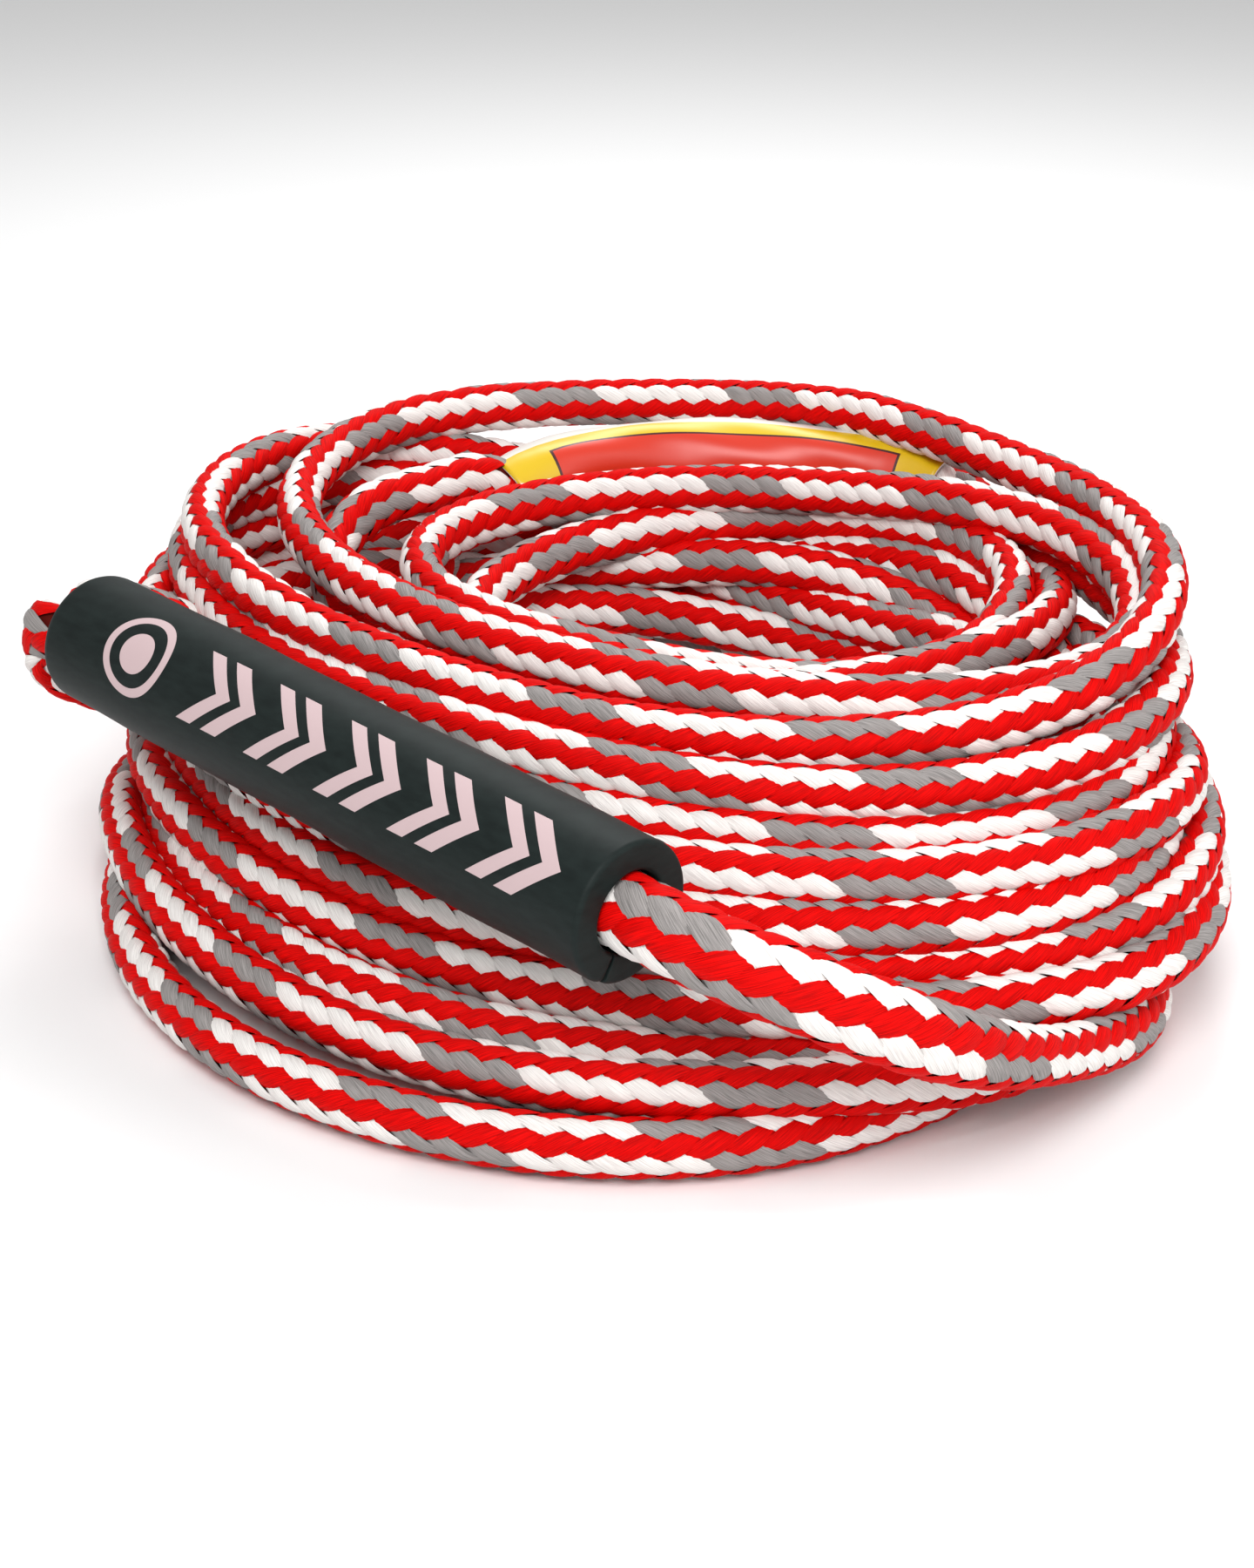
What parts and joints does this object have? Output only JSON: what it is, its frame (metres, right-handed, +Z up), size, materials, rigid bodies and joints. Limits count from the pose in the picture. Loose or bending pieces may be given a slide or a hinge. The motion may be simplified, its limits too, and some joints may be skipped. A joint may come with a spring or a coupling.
{
  "type": "tube tow rope",
  "caption": "Braided tow rope coiled for storage, with a spliced eye at each end, a slit foam float that turns on the rope, and a printed sleeve over one splice.",
  "frame": {"origin": "middle of the footprint, at the level of the floor", "axes": "+Z up out of the floor through the coil; the float lies across the -Y side, with its lower, splice end towards +X"},
  "size_m": [0.3582, 0.3846, 0.114],
  "materials": {
    "braid": "satin red, white and grey braided filament",
    "buried_tail": "satin red, white and grey braided filament",
    "foam": null,
    "sleeve": null
  },
  "bodies": {
    "rope": {"coil_turns_bottom": "braid", "coil_turns_lower": "braid", "coil_turns_upper": "braid", "coil_turns_top": "braid", "rope_lead": "braid", "tube_end_splice": "braid", "tube_end_tail": "buried_tail", "tube_end_eye": "braid", "boat_end_splice": "braid", "boat_end_tail": "buried_tail", "boat_end_eye": "braid", "printed_sleeve": "sleeve"},
    "float": {"foam_float": "foam"}
  },
  "joints": [
    {"name": "float_turn", "type": "hinge", "parent": "rope", "child": "float", "pos_m": [-0.15487, -0.00345, 0.09], "axis": [0.7108, -0.7018, -0.0475], "continuous": true}
  ]
}
